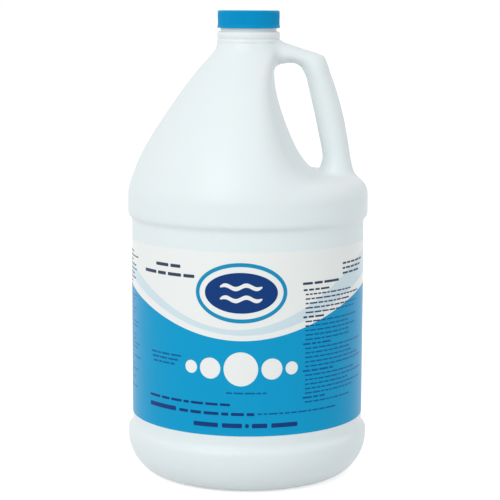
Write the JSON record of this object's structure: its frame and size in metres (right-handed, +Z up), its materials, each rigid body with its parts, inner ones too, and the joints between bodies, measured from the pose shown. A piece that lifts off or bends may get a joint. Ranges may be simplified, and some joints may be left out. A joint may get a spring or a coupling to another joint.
{
  "type": "bleach bottle",
  "caption": "Round jug for liquid bleach with a hollow side handle cut into its conical shoulder, a wrap-round label and a screw cap that turns and lifts off its neck.",
  "frame": {"origin": "centre of the base on the jug's axis, at the level of the foot ring", "axes": "+Z up along the jug's axis through the neck, +X towards the handle, the front of the label faces -Y"},
  "size_m": [0.1554, 0.1554, 0.2964],
  "materials": {
    "white_hdpe": "satin blow-moulded polythene",
    "pale_liquid": "clear pale yellow-green liquid",
    "blue_cap": "satin moulded polypropylene, finely ribbed",
    "white_foam": "smooth foam sheet",
    "label_white": "smooth printed film",
    "ink_blue": "printed ink",
    "ink_pale_blue": "printed ink",
    "ink_mid_blue": "printed ink",
    "ink_navy": "printed ink"
  },
  "bodies": {
    "bottle": {"bottle": "white_hdpe", "bleach_fill": "pale_liquid", "label": "label_white", "print_lower_field": "ink_blue", "print_pale_band": "ink_pale_blue", "print_badge_ring": "ink_mid_blue", "print_badge_core": "ink_navy"},
    "liner": {"cap_liner": "white_foam"},
    "cap": {"cap": "blue_cap"}
  },
  "joints": [
    {"name": "cap_lift", "type": "slide", "parent": "bottle", "child": "liner", "axis": [0, 0, 1], "range_m": [0, 0.0127]},
    {"name": "cap_turn", "type": "hinge", "parent": "liner", "child": "cap", "pos_m": [0, 0, 0.2854], "axis": [0, 0, 1], "range_deg": [0, 1080]}
  ],
  "couplings": [
    {"joint": "cap_lift", "follows": "cap_turn", "m_per_rad": 0.0006737}
  ]
}
